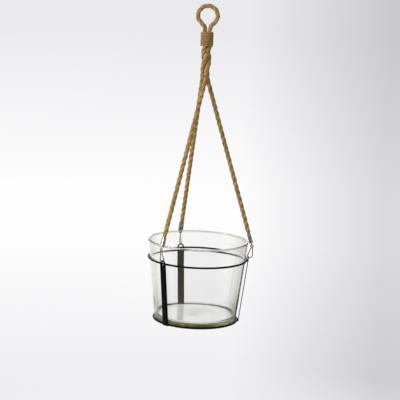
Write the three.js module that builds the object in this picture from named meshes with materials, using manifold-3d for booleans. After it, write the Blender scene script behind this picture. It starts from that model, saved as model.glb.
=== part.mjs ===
// Hanging planter: a tapered glass pot wedged in a wire and strap basket, hung by three snap hooks on
// three jute ropes that are laid together into one trunk and end in a hanging loop.
// Millimetres, +Z up. The origin is the inside top of the loop, where a ceiling hook bears.
// Heights named here are measured from the underside of the pot.
import * as THREE from 'three';
import { mergeVertices } from 'three/addons/utils/BufferGeometryUtils.js';
import Module from 'manifold-3d';

const wasm = await Module();
wasm.setup();

// Clearances
const SEAT_GAP = 0.3; // between pieces that touch on the real planter
const RIM_GAP = 0.5; // between a rope and the rim of the pot
const BOW_GAP = 1.8; // between a snap's bow and the upper ring
const GATE_GAP = 0.45; // the gate's running gap at its hinge and at the nose
const TONGUE_GAP = 0.6; // round the snap's wire in the tongue's hole
const TWINE_GAP = 0.5; // between neighbouring turns of the whipping

// Glass pot
const POT_HEIGHT = 145;
const RIM_RADIUS = 89;
const BASE_RADIUS = 72.3; // the outer wall carried down to the underside
const RIM_WALL = 3;
const BASE_WALL = 4.5; // the wall where it leaves the floor's fillet
const FLOOR_THICKNESS = 9.5;
const FLOOR_FILLET = 7;
const HEEL_RADIUS = 2;
const PUNT_RADIUS = 42; // the hollow under the base
const PUNT_DEPTH = 1.2;
const PUNT_SLOPE = 4.8; // width of the hollow's slanting edge

// Basket: two wire rings, three straps on their outside
const RING_WIRE = 3.4;
const RIM_ABOVE_RING = 32.5; // from the middle of the upper ring up to the rim
const LOWER_RING_LIFT = 0.9; // from the pot's underside up to the lower ring
const STRAP_WIDTH = 13;
const STRAP_THICKNESS = 1.2;
const EYE_DIAMETER = 7;
const EYE_BAR = 1.9; // the metal left above the eye
const STATIONS = [
  { name: 'right', azimuth: -2 },
  { name: 'rear', azimuth: 111 },
  { name: 'front', azimuth: 228.5 },
];

// Snap hooks: a bent wire in the radial plane, hung through the strap's eye
const SNAP_WIRE = 1.8;
const SNAP_HEIGHT = 19.6; // from the strap's eye bar up to the middle of the small eye
const SNAP_EYE_RADIUS = 2.2; // middle of the wire
const SNAP_BELLY = 6.2; // the outer leg, outward of the eye bar
const SNAP_NECK_GAP = 0.4; // between the two legs under the small eye
const SNAP_NECK_FLARE = 0.3; // how far each leg then parts from the other
const GATE_BEAD_RADIUS = 1.35;

// Ferrules: a flattened crimp cup with a tongue through the snap's small eye
const FERRULE_LENGTH = 17;
const FERRULE_WIDTH = 9.2;
const FERRULE_DEPTH = 7.2;
const FERRULE_WALL = 1;
const FERRULE_FLOOR = 2.6;
const FERRULE_EDGE = 0.5; // the rounding of the cup's lip
const TONGUE_NECK = 2.1; // from the snap's small eye up to the cup
const TONGUE_LAND = 1.3; // the metal at each side of the tongue's hole
const TONGUE_BAR = 1.2; // and below it
const TONGUE_THICKNESS = 1;

// Ropes
const ROPE_DIAMETER = 8;
const ROPE_SQUEEZE = 0.2; // how much thinner a rope is where they are laid together
const ROPE_RISE = 295; // from the rim up to the fork
const LEG_BEND_LENGTH = 8; // the leg turns out of the trunk over this length
const TRUNK_LENGTH = 53;
const LAY_ANGLE = 20; // of the laid ropes to the trunk's axis, in degrees
const LAY_LEAD = 55; // how far round the trunk a rope leaves it, from its own leg, in degrees
const LAY_EASE_LENGTH = 8; // the lay starts and ends over this length

// Whipping and hanging loop
const TWINE_DIAMETER = 2.2;
const WHIPPING_TURNS = 9;
const WHIPPING_LAP = 7; // how far the whipping reaches down over the trunk
const NECK_LENGTH = 3; // straight rope above the whipping
const LOOP_RADIUS = 17; // middle of the rope
const LOOP_SHOULDER = 25; // from the neck up to the middle of the round top

// Mesh fineness
const TURNED_STEPS = 64;
const WIRE_SIDES = 8;
const WIRE_STEPS = 64;
const ROPE_SIDES = 10;
const ROPE_STEPS = 20;
const LAID_STEPS = 44;
const TWINE_SIDES = 6;
const TWINE_STEPS = 24; // in one turn
const CUP_SIDES = 16;
const CURVE_STEPS = 12;
const FILLET_STEPS = 5;

/** A painted, plated, woven or glass finish. */
function finish(color, roughness, metalness, extra = {}) {
  return new THREE.MeshStandardMaterial({ color, roughness, metalness, ...extra });
}

const GLASS = finish(0xdfe2d4, 0.05, 0, { transparent: true, opacity: 0.35 });
const BLACK_STEEL = finish(0x17171a, 0.45, 0.6);
const NICKEL = finish(0xb9b5a8, 0.3, 0.95);
const JUTE = finish(0xa57f48, 0.95, 0);

/** A geometry's closed mesh as a solid that can be joined and cut. */
function solid(geometry) {
  const bare = geometry.clone();
  bare.deleteAttribute('normal');
  bare.deleteAttribute('uv');
  const merged = mergeVertices(bare, 1e-4);
  return new wasm.Manifold(new wasm.Mesh({
    numProp: 3,
    vertProperties: Float32Array.from(merged.attributes.position.array),
    triVerts: Uint32Array.from(merged.index.array),
  }));
}

/** A solid's mesh as a geometry. */
function skin(body) {
  const { vertProperties, triVerts } = body.getMesh();
  const geometry = new THREE.BufferGeometry();
  geometry.setAttribute('position', new THREE.BufferAttribute(Float32Array.from(vertProperties), 3));
  geometry.setIndex(new THREE.BufferAttribute(Uint32Array.from(triVerts), 1));
  geometry.computeVertexNormals();
  return geometry;
}

/** A round tube along a path. */
function tube(path, diameter, steps, sides) {
  const section = new THREE.Shape();
  for (let i = 0; i < sides; i += 1) {
    const turn = (2 * Math.PI * i) / sides;
    const x = (diameter / 2) * Math.cos(turn);
    const y = (diameter / 2) * Math.sin(turn);
    if (i === 0) {
      section.moveTo(x, y);
    } else {
      section.lineTo(x, y);
    }
  }
  section.closePath();
  return new THREE.ExtrudeGeometry(section, { extrudePath: path, steps, bevelEnabled: false, curveSegments: 1 });
}

/** A flat plate drawn as a shape: x across, y up the plate, its thickness outward. */
function plate(shape, thickness, curveSegments) {
  const geometry = new THREE.ExtrudeGeometry(shape, { depth: thickness, bevelEnabled: false, curveSegments });
  geometry.translate(0, 0, -thickness / 2);
  const across = new THREE.Vector3(0, 1, 0);
  const along = new THREE.Vector3(0, 0, 1);
  const outward = new THREE.Vector3(1, 0, 0);
  return geometry.applyMatrix4(new THREE.Matrix4().makeBasis(across, along, outward));
}

const up = (x, y) => new THREE.Vector2(x, y);

/** Points of a round or oval arc in a plane, from one angle to another, both in degrees. */
function arc(centre, radiusX, radiusY, from, to, steps) {
  const points = [];
  for (let i = 0; i <= steps; i += 1) {
    const angle = THREE.MathUtils.degToRad(from + ((to - from) * i) / steps);
    points.push(up(centre.x + radiusX * Math.cos(angle), centre.y + radiusY * Math.sin(angle)));
  }
  return points;
}

/** A point of the radial plane, where x is outward and y is up, in the planter's frame. */
const place = (p) => new THREE.Vector3(p.x, 0, p.y);

/** A smooth curve through points of the radial plane. */
function radialCurve(points) {
  return new THREE.CatmullRomCurve3(points.map(place), false, 'centripetal');
}

function named(name, geometry, material) {
  const mesh = new THREE.Mesh(geometry, material);
  mesh.name = name;
  return mesh;
}

// Glass pot
const potTaper = Math.atan((RIM_RADIUS - BASE_RADIUS) / POT_HEIGHT);
const potRadiusAt = (height) => BASE_RADIUS + (RIM_RADIUS - BASE_RADIUS) * (height / POT_HEIGHT);
const rimRound = RIM_WALL / 2;
const rimHeight = POT_HEIGHT - rimRound;
const rimCentre = up(potRadiusAt(rimHeight) - rimRound, rimHeight);

function glassPot() {
  const taper = THREE.MathUtils.radToDeg(potTaper);
  const filletHeight = FLOOR_THICKNESS + FLOOR_FILLET;
  const filletCentre = up(potRadiusAt(filletHeight) - BASE_WALL - FLOOR_FILLET, filletHeight);
  const heelCentre = up(potRadiusAt(HEEL_RADIUS) - HEEL_RADIUS / Math.cos(potTaper), HEEL_RADIUS);
  const profile = [
    up(0, PUNT_DEPTH),
    up(PUNT_RADIUS - PUNT_SLOPE, PUNT_DEPTH),
    up(PUNT_RADIUS, 0),
    ...arc(heelCentre, HEEL_RADIUS, HEEL_RADIUS, -90, -taper, FILLET_STEPS),
    ...arc(rimCentre, rimRound, rimRound, 0, 180, FILLET_STEPS + 1),
    ...arc(filletCentre, FLOOR_FILLET, FLOOR_FILLET, 0, -90, FILLET_STEPS),
    up(0, FLOOR_THICKNESS),
  ];
  const geometry = new THREE.LatheGeometry(profile, TURNED_STEPS);
  geometry.rotateX(Math.PI / 2);
  return named('glass_pot', geometry, GLASS);
}

// Wire rings, wedged on the pot's taper
function ringAt(height) {
  return up(potRadiusAt(height) + (SEAT_GAP + RING_WIRE / 2) / Math.cos(potTaper), height);
}

const upperRing = ringAt(POT_HEIGHT - RIM_ABOVE_RING);
const lowerRing = ringAt(LOWER_RING_LIFT + RING_WIRE / 2);

function wireRing(name, ring) {
  const mesh = named(name, new THREE.TorusGeometry(ring.x, RING_WIRE / 2, WIRE_SIDES, TURNED_STEPS), BLACK_STEEL);
  mesh.position.z = ring.y;
  return mesh;
}

// Straps, flat on the outside of both rings, with their eye above the upper one
const strapLine = upperRing.clone().sub(lowerRing);
const strapTilt = Math.atan2(strapLine.x, strapLine.y);
const strapAlong = up(Math.sin(strapTilt), Math.cos(strapTilt));
const strapOutward = up(Math.cos(strapTilt), -Math.sin(strapTilt));
const strapFoot = lowerRing.clone().addScaledVector(strapOutward, RING_WIRE / 2 + SEAT_GAP + STRAP_THICKNESS / 2);
const strapTop = strapLine.length() + RING_WIRE / 2 + BOW_GAP + SNAP_WIRE + SEAT_GAP + EYE_BAR;
const eyeBar = strapFoot.clone().addScaledVector(strapAlong, strapTop - EYE_BAR / 2);

function strap(name) {
  const half = STRAP_WIDTH / 2;
  const outline = new THREE.Shape();
  outline.moveTo(-half, -RING_WIRE / 2);
  outline.lineTo(half, -RING_WIRE / 2);
  outline.absarc(0, strapTop - half, half, 0, Math.PI, false);
  outline.closePath();
  const eye = new THREE.Path();
  eye.absarc(0, strapTop - EYE_BAR - EYE_DIAMETER / 2, EYE_DIAMETER / 2, 0, 2 * Math.PI, true);
  outline.holes.push(eye);
  const mesh = named(name, plate(outline, STRAP_THICKNESS, CURVE_STEPS), BLACK_STEEL);
  mesh.position.copy(place(strapFoot));
  mesh.rotation.y = strapTilt;
  return mesh;
}

// Trunk: the ropes lie on the smallest circle that keeps them clear of each other
const trunkRopeDiameter = ROPE_DIAMETER - ROPE_SQUEEZE;
const forkHeight = POT_HEIGHT + ROPE_RISE;
const trunkTop = forkHeight + TRUNK_LENGTH;
const laySlope = Math.tan(THREE.MathUtils.degToRad(LAY_ANGLE));
const layLead = THREE.MathUtils.degToRad(LAY_LEAD);

/** The smallest angle between neighbouring ropes. */
function leastTurn() {
  const turns = STATIONS.map(({ azimuth }, i) => {
    const next = STATIONS[(i + 1) % STATIONS.length].azimuth;
    return THREE.MathUtils.euclideanModulo(next - azimuth, 360);
  });
  return THREE.MathUtils.degToRad(Math.min(...turns));
}

/** The least distance between neighbouring ropes laid on a circle of radius 1. */
function unitLayDistance() {
  let least = Infinity;
  for (let i = -TURNED_STEPS; i <= TURNED_STEPS; i += 1) {
    const angle = (Math.PI * i) / TURNED_STEPS;
    const chord = 2 * Math.sin((leastTurn() + angle) / 2);
    least = Math.min(least, Math.hypot(chord, angle / laySlope));
  }
  return least;
}

const layRadius = (trunkRopeDiameter + SEAT_GAP) / unitLayDistance();
const layLength = (2 * Math.PI * layRadius) / laySlope; // one turn

/** Turns of lay at a distance above the fork, with no lay at the two ends. */
function layAt(distance) {
  const rest = TRUNK_LENGTH - distance;
  if (distance < LAY_EASE_LENGTH) {
    return distance ** 2 / (2 * LAY_EASE_LENGTH * layLength);
  }
  if (rest < LAY_EASE_LENGTH) {
    return (TRUNK_LENGTH - LAY_EASE_LENGTH - rest ** 2 / (2 * LAY_EASE_LENGTH)) / layLength;
  }
  return (distance - LAY_EASE_LENGTH / 2) / layLength;
}

function trunkRope({ name, azimuth }) {
  const points = [];
  for (let i = 0; i <= LAID_STEPS; i += 1) {
    const distance = (TRUNK_LENGTH * i) / LAID_STEPS;
    const angle = THREE.MathUtils.degToRad(azimuth) + layLead + 2 * Math.PI * layAt(distance);
    points.push(new THREE.Vector3(layRadius * Math.cos(angle), layRadius * Math.sin(angle), forkHeight + distance));
  }
  const path = new THREE.CatmullRomCurve3(points);
  return named(`trunk_rope_${name}`, tube(path, trunkRopeDiameter, LAID_STEPS, WIRE_SIDES), JUTE);
}

// Rope legs: straight lines from the fork that pass just outside the rim, down to the snaps' small eyes
const legRadius = Math.max(layRadius, (ROPE_DIAMETER + SEAT_GAP) / (2 * Math.sin(leastTurn() / 2)));
const legTurn = up(legRadius, forkHeight - LEG_BEND_LENGTH);
const toRim = rimCentre.clone().sub(legTurn);
const rimReach = rimRound + RIM_GAP + Math.max(ROPE_DIAMETER, FERRULE_DEPTH) / 2;
const legLean = Math.atan2(toRim.x, -toRim.y) + Math.asin(rimReach / toRim.length());
const legLine = up(-Math.sin(legLean), Math.cos(legLean));
const eyeHeight = eyeBar.y + SNAP_HEIGHT;
const eyeCentre = up(legTurn.x + (legTurn.y - eyeHeight) * Math.tan(legLean), eyeHeight);
const cupBottom = SNAP_EYE_RADIUS + SNAP_WIRE / 2 + TONGUE_NECK;
const cupTop = cupBottom + FERRULE_LENGTH;

/** The rope's crimped end inside the ferrule. */
function crimpedEnd() {
  const radius = FERRULE_WIDTH / 2 - FERRULE_WALL - SEAT_GAP;
  const foot = cupBottom + FERRULE_FLOOR + SEAT_GAP;
  const length = cupTop + ROPE_DIAMETER / 2 - foot;
  const end = new THREE.CylinderGeometry(radius, radius, length, CURVE_STEPS);
  end.rotateX(Math.PI / 2);
  end.translate(0, 0, foot + length / 2);
  end.scale((FERRULE_DEPTH / 2 - FERRULE_WALL - SEAT_GAP) / radius, 1, 1);
  end.rotateY(-legLean);
  end.translate(eyeCentre.x, 0, eyeCentre.y);
  return end;
}

/** Where a leg's rope comes out of the trunk, at a height. */
function leave(height) {
  return new THREE.Vector3(legRadius * Math.cos(layLead), legRadius * Math.sin(layLead), height);
}

function ropeLeg(name) {
  const low = place(eyeCentre.clone().addScaledVector(legLine, cupTop + SEAT_GAP));
  const turn = leave(forkHeight - LEG_BEND_LENGTH);
  const bendEnd = turn.clone().lerp(low, LEG_BEND_LENGTH / turn.distanceTo(low));
  const path = new THREE.CurvePath();
  path.add(new THREE.LineCurve3(low, bendEnd));
  path.add(new THREE.QuadraticBezierCurve3(bendEnd, turn, leave(forkHeight - SEAT_GAP)));
  const rope = solid(tube(path, ROPE_DIAMETER, ROPE_STEPS, ROPE_SIDES));
  return named(name, skin(rope.add(solid(crimpedEnd()))), JUTE);
}

// Ferrules
function ferruleCup() {
  const radius = FERRULE_WIDTH / 2;
  const bore = radius - FERRULE_WALL;
  const profile = [
    up(0, cupBottom),
    up(bore, cupBottom),
    up(radius, cupBottom + FERRULE_WALL),
    up(radius, cupTop - FERRULE_EDGE),
    up(radius - FERRULE_EDGE, cupTop),
    up(bore, cupTop),
    up(bore, cupBottom + FERRULE_FLOOR),
    up(0, cupBottom + FERRULE_FLOOR),
  ];
  const cup = new THREE.LatheGeometry(profile, CUP_SIDES);
  cup.rotateX(Math.PI / 2);
  return cup.scale(FERRULE_DEPTH / FERRULE_WIDTH, 1, 1);
}

/** The tongue's hole takes the wire of the snap's small eye, and its lower bar lies inside that eye. */
function ferruleTongue() {
  const eyeRoom = SNAP_EYE_RADIUS - SNAP_WIRE / 2 - SEAT_GAP;
  const arch = Math.sqrt(eyeRoom ** 2 - (TONGUE_THICKNESS / 2) ** 2);
  const holeRadius = SNAP_WIRE / 2 + TONGUE_GAP;
  const half = holeRadius + TONGUE_LAND;
  const tip = arch - TONGUE_BAR;
  const root = cupBottom + FERRULE_FLOOR / 2;
  const outline = new THREE.Shape();
  outline.moveTo(-half, root);
  outline.lineTo(-half, arch);
  outline.quadraticCurveTo(-half, tip, 0, tip);
  outline.quadraticCurveTo(half, tip, half, arch);
  outline.lineTo(half, root);
  outline.closePath();
  const hole = new THREE.Path();
  hole.absarc(0, arch + holeRadius, holeRadius, 0, 2 * Math.PI, true);
  outline.holes.push(hole);
  return plate(outline, TONGUE_THICKNESS, CURVE_STEPS / 2);
}

function ferrule(name) {
  const mesh = named(name, skin(solid(ferruleCup()).add(solid(ferruleTongue()))), NICKEL);
  mesh.position.copy(place(eyeCentre));
  mesh.rotation.y = -legLean;
  return mesh;
}

// Snap hooks. Their points are set from the middle of the strap's eye bar, x outward and y up.
const snapEye = eyeCentre.clone().sub(eyeBar);
const snapNeck = (SNAP_WIRE + SNAP_NECK_GAP) / 2;
const neckHeight = snapEye.y - SNAP_EYE_RADIUS - SNAP_WIRE;
const gateTop = up(snapEye.x - snapNeck - SNAP_NECK_FLARE, neckHeight);
const snapInset = (STRAP_THICKNESS + RING_WIRE) / 2; // the nose, between the strap and the glass
const snapNose = up(-snapInset, (EYE_BAR + SNAP_WIRE) / 2);
const gateLine = snapNose.clone().sub(gateTop).normalize();
const bowDrop = EYE_BAR / 2 + SEAT_GAP + SNAP_WIRE / 2; // the bow's middle under the middle of the bar

function snapHook(name) {
  const neckAngle = THREE.MathUtils.radToDeg(Math.asin(snapNeck / SNAP_EYE_RADIUS));
  const path = radialCurve([
    gateTop,
    gateTop.clone().addScaledVector(gateLine, -SNAP_WIRE / 2),
    ...arc(snapEye, SNAP_EYE_RADIUS, SNAP_EYE_RADIUS, 270 - neckAngle, neckAngle - 90, CURVE_STEPS),
    up(snapEye.x + snapNeck + SNAP_NECK_FLARE, neckHeight),
    up(SNAP_BELLY, snapEye.y / 2),
    ...arc(up(0, bowDrop), SNAP_BELLY, 2 * bowDrop, 0, -90, FILLET_STEPS),
    up(-snapInset, -bowDrop / 2),
    snapNose.clone().addScaledVector(gateLine, SNAP_WIRE / 2),
    snapNose,
  ]);
  const mesh = named(name, tube(path, SNAP_WIRE, WIRE_STEPS, WIRE_SIDES), NICKEL);
  mesh.position.copy(place(eyeBar));
  return mesh;
}

// Gate: a straight sprung wire from the neck down to a bead that stands just inside the nose
const gateHinge = gateTop.clone().addScaledVector(gateLine, GATE_GAP);
const gateBead = snapNose.clone().addScaledVector(gateLine, -GATE_GAP - GATE_BEAD_RADIUS);

function snapGate(name) {
  const wire = tube(radialCurve([gateHinge, gateBead]), SNAP_WIRE, 1, WIRE_SIDES);
  const bead = new THREE.SphereGeometry(GATE_BEAD_RADIUS, WIRE_SIDES, WIRE_SIDES);
  bead.translate(gateBead.x, 0, gateBead.y);
  const mesh = named(name, skin(solid(wire).add(solid(bead))), NICKEL);
  mesh.position.copy(place(eyeBar));
  return mesh;
}

// Hanging loop: a bight of rope whose two ends stand on the trunk inside the whipping
const twinePitch = TWINE_DIAMETER + TWINE_GAP;
const whippingFoot = trunkTop - WHIPPING_LAP;
const neckHalf = (ROPE_DIAMETER + SEAT_GAP) / 2;
const neckTop = whippingFoot + WHIPPING_TURNS * twinePitch + NECK_LENGTH;
const loopCentre = up(0, neckTop + LOOP_SHOULDER);
const hangHeight = loopCentre.y + LOOP_RADIUS - ROPE_DIAMETER / 2;

function hangLoop() {
  const neck = up(neckHalf, neckTop);
  const shoulder = new THREE.CubicBezierCurve(
    neck,
    up(neckHalf, neckTop + LOOP_SHOULDER / 2),
    up(LOOP_RADIUS, loopCentre.y - LOOP_SHOULDER / 2),
    up(LOOP_RADIUS, loopCentre.y),
  );
  const side = [up(neckHalf, trunkTop + SEAT_GAP), ...shoulder.getPoints(FILLET_STEPS)];
  const mirrored = side.map((p) => up(-p.x, p.y)).reverse();
  const top = arc(loopCentre, LOOP_RADIUS, LOOP_RADIUS, 0, 180, CURVE_STEPS).slice(1, -1);
  const path = radialCurve([...side, ...top, ...mirrored]);
  return named('hang_loop', tube(path, ROPE_DIAMETER, WIRE_STEPS, ROPE_SIDES), JUTE);
}

// Whipping: one length of twine wound round the top of the trunk and the neck of the loop
function whippingPoints() {
  const core = Math.max(layRadius + trunkRopeDiameter / 2, neckHalf + ROPE_DIAMETER / 2);
  const radius = core + SEAT_GAP + TWINE_DIAMETER / 2;
  const points = [];
  for (let i = 0; i <= WHIPPING_TURNS * TWINE_STEPS; i += 1) {
    const turn = i / TWINE_STEPS;
    const angle = 2 * Math.PI * turn;
    const height = whippingFoot + twinePitch * turn;
    points.push(new THREE.Vector3(radius * Math.cos(angle), radius * Math.sin(angle), height));
  }
  const straightEnd = (end, next) => end.clone().add(end.clone().sub(next).setLength(TWINE_DIAMETER));
  points.unshift(straightEnd(points[0], points[1]));
  points.push(straightEnd(points.at(-1), points.at(-2)));
  return points;
}

/** The least gap between the turns of a wound cord, measured on its points. */
function leastTurnGap(points, pointsPerTurn, diameter) {
  let least = Infinity;
  for (let i = 0; i < points.length; i += 1) {
    for (let j = i + pointsPerTurn / 2; j < points.length; j += 1) {
      least = Math.min(least, points[i].distanceTo(points[j]));
    }
  }
  return least - diameter;
}

function loopWhipping() {
  const points = whippingPoints();
  const gap = leastTurnGap(points, TWINE_STEPS, TWINE_DIAMETER);
  console.log(`whipping: least gap between turns ${gap.toFixed(2)} mm`);
  const path = new THREE.CatmullRomCurve3(points);
  return named('loop_whipping', tube(path, TWINE_DIAMETER, points.length - 1, TWINE_SIDES), JUTE);
}

// Assembly
const planter = new THREE.Group();
planter.position.z = -hangHeight;
planter.add(hangLoop(), loopWhipping());
for (const station of STATIONS) {
  planter.add(trunkRope(station));
  const side = new THREE.Group();
  side.rotation.z = THREE.MathUtils.degToRad(station.azimuth);
  side.add(
    ropeLeg(`rope_leg_${station.name}`),
    ferrule(`ferrule_${station.name}`),
    snapHook(`snap_hook_${station.name}`),
    snapGate(`snap_gate_${station.name}`),
    strap(`strap_${station.name}`),
  );
  planter.add(side);
}
planter.add(wireRing('upper_ring', upperRing), wireRing('lower_ring', lowerRing), glassPot());

const hung = new THREE.Group();
hung.add(planter);
export default hung;
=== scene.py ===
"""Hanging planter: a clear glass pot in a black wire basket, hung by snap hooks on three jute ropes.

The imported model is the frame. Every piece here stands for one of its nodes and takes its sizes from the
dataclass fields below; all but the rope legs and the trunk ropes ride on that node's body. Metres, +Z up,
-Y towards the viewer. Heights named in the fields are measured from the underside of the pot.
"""

import logging
import math
import random
from dataclasses import dataclass, field
from enum import Enum
from typing import Callable, Optional, Sequence, Union

import bmesh
import bpy
from mathutils import Matrix, Vector


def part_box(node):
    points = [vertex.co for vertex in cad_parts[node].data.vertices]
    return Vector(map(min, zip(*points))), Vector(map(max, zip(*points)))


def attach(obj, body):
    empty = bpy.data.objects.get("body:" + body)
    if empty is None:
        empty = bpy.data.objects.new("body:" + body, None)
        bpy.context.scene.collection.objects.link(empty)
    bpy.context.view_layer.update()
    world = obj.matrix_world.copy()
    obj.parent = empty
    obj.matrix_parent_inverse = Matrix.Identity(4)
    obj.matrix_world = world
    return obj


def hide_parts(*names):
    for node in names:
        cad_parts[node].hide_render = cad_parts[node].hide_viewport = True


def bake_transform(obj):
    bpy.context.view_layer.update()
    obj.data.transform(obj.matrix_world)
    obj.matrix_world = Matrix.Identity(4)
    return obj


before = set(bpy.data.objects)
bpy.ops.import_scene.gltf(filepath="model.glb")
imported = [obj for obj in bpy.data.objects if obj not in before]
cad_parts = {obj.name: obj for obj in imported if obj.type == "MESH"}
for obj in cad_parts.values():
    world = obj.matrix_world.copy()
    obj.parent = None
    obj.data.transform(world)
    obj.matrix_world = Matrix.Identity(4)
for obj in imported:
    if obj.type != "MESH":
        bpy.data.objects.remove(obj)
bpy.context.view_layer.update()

log = logging.getLogger("hanging_planter")

TURN = 2.0 * math.pi
STRAND_SPACE = "strand_space"
UNDERSIDE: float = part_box("glass_pot")[0][2]

Colour = tuple[float, float, float, float]
SocketValue = Union[bpy.types.NodeSocket, float, Sequence[float]]


class Slot(Enum):
    """Four material slot names."""

    GLASS = "pot_glass"
    STEEL = "black_steel"
    NICKEL = "nickel"
    JUTE = "jute"


class Side(Enum):
    """The three places where a rope, a clip and a strap stand, with their azimuth in degrees."""

    RIGHT = ("right", -2.0)
    REAR = ("rear", 111.0)
    FRONT = ("front", 228.5)

    @property
    def label(self) -> str:
        """The side's name in the nodes' names."""
        return self.value[0]

    @property
    def azimuth(self) -> float:
        """The side's azimuth in radians."""
        return math.radians(self.value[1])

    @property
    def matrix(self) -> Matrix:
        """From the radial plane, x outward and z up from the pot's underside, to the row frame."""
        return Matrix.Translation((0, 0, UNDERSIDE)) @ Matrix.Rotation(self.azimuth, 4, "Z")


# Node trees


class NodePen:
    """Draws nodes into a tree."""

    def __init__(self, tree: bpy.types.NodeTree) -> None:
        """Keeps the tree.

        Args:
            tree: a material's, a world's or a group's node tree.
        """
        self.tree = tree

    def add(self, kind: str, values: Optional[dict[Union[str, int], SocketValue]] = None,
            **settings: object) -> bpy.types.Node:
        """Adds one node.

        Args:
            kind: the node's type name.
            values: what each input holds, a plain value or the socket that feeds it.
            settings: the node's own settings.

        Returns:
            The new node.
        """
        node = self.tree.nodes.new(kind)
        for name, setting in settings.items():
            setattr(node, name, setting)
        for name, value in (values or {}).items():
            if isinstance(value, bpy.types.NodeSocket):
                self.tree.links.new(value, node.inputs[name])
            else:
                node.inputs[name].default_value = value
        return node

    def math(self, operation: str, first: SocketValue, second: SocketValue = 0.0) -> bpy.types.NodeSocket:
        """A Math node's output.

        Args:
            operation: the operation's name.
            first: the first number or socket.
            second: the second number or socket.

        Returns:
            The result's socket.
        """
        return self.add("ShaderNodeMath", {0: first, 1: second}, operation=operation).outputs[0]

    def scaled(self, vector: bpy.types.NodeSocket, scale: Sequence[float]) -> bpy.types.NodeSocket:
        """A vector multiplied axis by axis.

        Args:
            vector: the vector's socket.
            scale: the factor of each axis.

        Returns:
            The result's socket.
        """
        return self.add("ShaderNodeVectorMath", {0: vector, 1: scale}, operation="MULTIPLY").outputs[0]

    def noise(self, vector: bpy.types.NodeSocket, scale: float, detail: float = 3.0,
              roughness: float = 0.55) -> bpy.types.NodeSocket:
        """A noise from 0 to 1.

        Args:
            vector: where it is read.
            scale: how fine it is.
            detail: how many octaves it has.
            roughness: how strong the finer octaves are.

        Returns:
            The noise's socket.
        """
        values = {"Vector": vector, "Scale": scale, "Detail": detail, "Roughness": roughness}
        return self.add("ShaderNodeTexNoise", values).outputs[0]

    def ramp(self, factor: bpy.types.NodeSocket, low: float, high: float, start: float = 0.0,
             end: float = 1.0) -> bpy.types.NodeSocket:
        """A number carried from one range to another.

        Args:
            factor: the number's socket.
            low: where the old range starts.
            high: where it ends.
            start: where the new range starts.
            end: where it ends.

        Returns:
            The result's socket.
        """
        values = {"Value": factor, "From Min": low, "From Max": high, "To Min": start, "To Max": end}
        return self.add("ShaderNodeMapRange", values).outputs[0]

    def blend(self, factor: SocketValue, first: SocketValue, second: SocketValue, mode: str = "MIX"
              ) -> bpy.types.NodeSocket:
        """A colour between two colours.

        Args:
            factor: 0 for the first, 1 for the second.
            first: the first colour.
            second: the second colour.
            mode: how the second goes over the first.

        Returns:
            The colour's socket.
        """
        node = self.tree.nodes.new("ShaderNodeMix")
        node.data_type = "RGBA"
        node.blend_type = mode
        for index, value in ((0, factor), (6, first), (7, second)):
            if isinstance(value, bpy.types.NodeSocket):
                self.tree.links.new(value, node.inputs[index])
            else:
                node.inputs[index].default_value = value
        return node.outputs[2]


def new_group(name: str, inputs: Sequence[tuple[str, str]], outputs: Sequence[tuple[str, str]]
              ) -> tuple[bpy.types.ShaderNodeTree, NodePen, bpy.types.Node, bpy.types.Node]:
    """Starts a shader node group.

    Args:
        name: the group's name.
        inputs: the name and socket type of each input.
        outputs: the name and socket type of each output.

    Returns:
        The group, a pen for it, its input node and its output node.
    """
    group = bpy.data.node_groups.new(name, "ShaderNodeTree")
    for direction, sockets in (("INPUT", inputs), ("OUTPUT", outputs)):
        for label, kind in sockets:
            group.interface.new_socket(label, in_out=direction, socket_type=kind)
    pen = NodePen(group)
    return group, pen, pen.add("NodeGroupInput"), pen.add("NodeGroupOutput")


def laid_fibre_group() -> bpy.types.ShaderNodeTree:
    """Jute yarns and fibres on a strand's own straight coordinates, with painted shade in the grooves between yarns.

    Returns:
        The group, with the strand's colour, roughness and height.
    """
    vector, number, colour = "NodeSocketVector", "NodeSocketFloat", "NodeSocketColor"
    group, pen, source, result = new_group(
        "laid_fibre",
        [("Strand", vector), ("Yarns", number), ("Dark", colour), ("Mid", colour), ("Light", colour)],
        [("Color", colour), ("Roughness", number), ("Height", number)],
    )
    strand = source.outputs["Strand"]
    split = pen.add("ShaderNodeSeparateXYZ", {0: strand})
    wander = pen.noise(pen.scaled(strand, (90.0, 90.0, 70.0)), 1.0, 2.0)
    turn = pen.math("ARCTAN2", split.outputs["Y"], split.outputs["X"])
    yarn = pen.math("SINE", pen.math("ADD", pen.math("MULTIPLY", turn, source.outputs["Yarns"]),
                                     pen.math("MULTIPLY", wander, 5.0)))
    ridge = pen.ramp(yarn, -1.0, 1.0)
    fibre = pen.noise(pen.scaled(strand, (3200.0, 3200.0, 260.0)), 1.0, 4.0, 0.65)
    patch = pen.noise(pen.scaled(strand, (60.0, 60.0, 75.0)), 1.0, 2.0)
    # Tone: random fibre and patch noise plus the yarn ridge, which paints shade into the grooves between yarns and
    # lightens their crowns.
    tone = pen.math("ADD", pen.math("MULTIPLY", pen.ramp(fibre, 0.3, 0.7), 0.45),
                    pen.math("ADD", pen.math("MULTIPLY", pen.ramp(patch, 0.3, 0.7), 0.35),
                             pen.math("MULTIPLY", ridge, 0.2)))
    lower = pen.blend(pen.ramp(tone, 0.12, 0.5), source.outputs["Dark"], source.outputs["Mid"])
    shade = pen.blend(pen.ramp(tone, 0.5, 0.88), lower, source.outputs["Light"])
    height = pen.math("ADD", pen.math("MULTIPLY", ridge, 0.6), pen.math("MULTIPLY", fibre, 0.4))
    pen.tree.links.new(shade, result.inputs["Color"])
    pen.tree.links.new(pen.ramp(fibre, 0.2, 0.8, 0.98, 0.8), result.inputs["Roughness"])
    pen.tree.links.new(height, result.inputs["Height"])
    return group


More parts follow.
